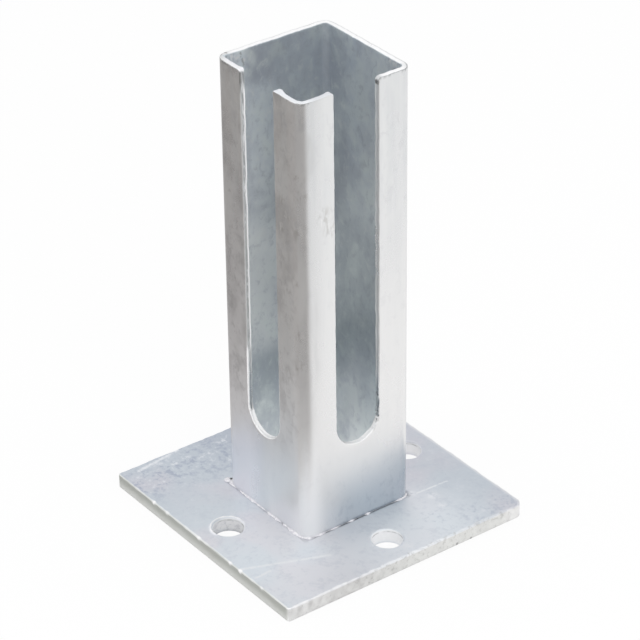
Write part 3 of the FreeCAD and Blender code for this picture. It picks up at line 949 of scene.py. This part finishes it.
    # the painted lighter band on the -X wall is also less metallic, so that it takes up more light
    less_metallic_waist = waist * inner * finish.span(x, -28, -30)
    metallic = 1.0 - 0.85 * fresh - 0.6 * pale_low_bend - 0.22 * less_metallic_waist
    roughness = 0.24 + 0.1 * clouds + 0.06 * patches + 0.1 * inner + 0.35 * corner
    relief = patches * 0.22 + streaks * 0.2 + grain * 0.08
    return finish.surface(colour, metallic, roughness, relief, 0.15)


def seam_finish():
    """Pale zinc, a little lilac and grainy, with painted shadow in the pit."""
    finish = Finish(bpy.data.materials.new("zinc_seam"))
    grain = finish.noise(1.6, 3, 0.6)
    colour = finish.blend(finish.ramp(grain, 0.35, 0.65), tint(0.74, 0.73, 0.78), tint(0.95, 0.95, 0.97))
    colour = finish.blend(finish.near(PIT_SHADOW, 0.7, 1.7), colour, grey(0.06))
    return finish.surface(colour, 0.5, 0.35 + 0.1 * grain, grain, 0.15)


def weld_finish():
    """Duller zinc over weld ripples."""
    finish = Finish(bpy.data.materials.new("weld_metal"))
    grain = finish.noise(2.5, 3, 0.6)
    colour = finish.blend(finish.ramp(grain, 0.35, 0.65), tint(0.52, 0.53, 0.55), tint(0.72, 0.73, 0.75))
    return finish.surface(colour, 1.0, 0.35 + 0.15 * grain, grain, 0.3)


# Pieces
add_piece("galvanised_base_plate", plate_grids(), "base_plate", plate_finish())
add_piece("galvanised_post_sleeve", sleeve_grids(), "post_sleeve", sleeve_finish())
add_piece("zinc_foot_seam", seam_grids(), "foot_seam", seam_finish())
add_piece("galvanised_root_weld", weld_grids(), "root_weld", weld_finish())


# Studio


FLOOR_SIZE = 6.0
FLOOR_WHITE_SHARE = 0.9  # of white in what the camera sees of the floor; the rest takes the shadow
FLOOR_GLOSS_SHARE = 0.8  # of plain tone in what metal mirrors of the floor
FLOOR_CENTRE = (0, 0, 0)
FLOOR_BACK = (0.09, 0.996, 0)  # direction in which the mirrored floor brightens
WORLD_PANEL = (-0.69, -0.51, 0.52)  # direction of a brighter part of the surround
LIGHT_TARGET = (0, 0, 0.1)
LIGHT_SIZE = 0.9


def rays(finish, *kinds):
    """1 for rays of the given kinds and 0 for the rest."""
    return finish.any_of(finish.node("ShaderNodeLightPath", output=kind) for kind in kinds)


def towards(finish, direction, low, high):
    """0 to 1 as the direction from the middle of the scene turns towards the given one."""
    here = finish.node("ShaderNodeTexCoord", output="Object" if finish.on_mesh else "Generated")
    reach = finish.vector("DOT_PRODUCT", finish.vector("NORMALIZE", here), direction, "Value")
    return finish.ramp(reach, low, high)


def floor():
    """Pale floor that keeps the shadow, seen from above only. What metal mirrors of it is darker in
    front."""
    corners = np.array([[-1, -1, 0], [1, -1, 0], [1, 1, 0], [-1, 1, 0]]) * FLOOR_SIZE / 2
    mesh = bpy.data.meshes.new("floor")
    mesh.from_pydata(corners, [], [(0, 1, 2, 3)])
    finish = Finish(bpy.data.materials.new("pale_floor"))
    lit = finish.node("ShaderNodeBsdfDiffuse", None, {"Color": grey(0.95)})
    white = finish.node("ShaderNodeEmission", None, {"Color": grey(1.0)})
    close = finish.near(FLOOR_CENTRE, 100, 240)
    front = finish.blend(close, tint(0.27, 0.25, 0.235), tint(0.5, 0.485, 0.475))
    tone = finish.blend(towards(finish, FLOOR_BACK, -0.4, 0.5), front, tint(1.0, 0.985, 0.97))
    tone = finish.blend(finish.near(FLOOR_CENTRE, 32, 44), tone, tint(0.97, 0.99, 1.0))
    mirrored = finish.node("ShaderNodeEmission", None, {"Color": tone})
    gloss = rays(finish, "Is Glossy Ray") * FLOOR_GLOSS_SHARE
    viewed = rays(finish, "Is Camera Ray", "Is Transmission Ray") * FLOOR_WHITE_SHARE
    seen = finish.node("ShaderNodeMixShader", None, {0: gloss, 1: lit, 2: mirrored})
    seen = finish.node("ShaderNodeMixShader", None, {0: viewed, 1: seen, 2: white})
    clear = finish.node("ShaderNodeBsdfTransparent")
    below = finish.node("ShaderNodeNewGeometry", output="Backfacing")
    surface = finish.node("ShaderNodeMixShader", None, {0: below, 1: seen, 2: clear})
    finish.node("ShaderNodeOutputMaterial", None, {"Surface": surface})
    mesh.materials.append(finish.owner)
    plane = bpy.data.objects.new("floor", mesh)
    scene.collection.objects.link(plane)


def softbox(name, place, power):
    """Square soft light that faces the sleeve. Metal mirrors the even surround instead of it."""
    lamp = bpy.data.lights.new(name, "AREA")
    lamp.size = LIGHT_SIZE
    lamp.energy = power
    light = bpy.data.objects.new(name, lamp)
    light.visible_glossy = False
    light.location = place
    light.rotation_mode = "QUATERNION"
    light.rotation_quaternion = (Vector(LIGHT_TARGET) - Vector(place)).to_track_quat("-Z", "Y")
    scene.collection.objects.link(light)


def world():
    """Even surround: white where the camera sees it, and grey with a brighter ceiling and a brighter panel
    for the rest."""
    finish = Finish(bpy.data.worlds.new("studio"))
    tone = finish.coat(grey(0.75), [
        (towards(finish, (0, 0, 1), 0.6, 0.95), grey(1.0)),
        (towards(finish, WORLD_PANEL, 0.5, 0.92), grey(1.0)),
        (rays(finish, "Is Camera Ray"), grey(1.0)),
    ])
    sky = finish.node("ShaderNodeBackground", None, {"Color": tone})
    finish.node("ShaderNodeOutputWorld", None, {"Surface": sky})
    scene.world = finish.owner


# Camera: its turn, and the place of the plate's centre as it sees it
CAMERA_AZIMUTH = math.radians(53.439)
CAMERA_ELEVATION = math.radians(31.112)
CAMERA_ROLL = math.radians(-0.717)
PLATE_IN_VIEW = Vector((-0.4792 * MM, -93.804 * MM, -1578.56 * MM))
SENSOR_WIDTH = 36.0
FOCAL_LENGTH = 171.02


def camera():
    """Camera at the photograph's angle."""
    across, up = math.cos(CAMERA_ELEVATION), math.sin(CAMERA_ELEVATION)
    back = Vector((math.sin(CAMERA_AZIMUTH) * across, -math.cos(CAMERA_AZIMUTH) * across, up))
    level = Vector((math.cos(CAMERA_AZIMUTH), math.sin(CAMERA_AZIMUTH), 0))
    upright = back.cross(level)
    right = level * math.cos(CAMERA_ROLL) + upright * math.sin(CAMERA_ROLL)
    above = upright * math.cos(CAMERA_ROLL) - level * math.sin(CAMERA_ROLL)
    turn = Matrix((right, above, back)).transposed()
    lens = bpy.data.cameras.new("camera")
    lens.sensor_width = SENSOR_WIDTH
    lens.lens = FOCAL_LENGTH
    viewer = bpy.data.objects.new("camera", lens)
    viewer.matrix_world = Matrix.Translation(turn @ -PLATE_IN_VIEW) @ turn.to_4x4()
    scene.collection.objects.link(viewer)
    scene.camera = viewer


floor()
world()
softbox("overhead_light", (0.1, 0.0, 1.3), 1)
softbox("right_light", (1.1, -0.3, 0.7), 4)
camera()
scene.view_settings.view_transform = "Standard"
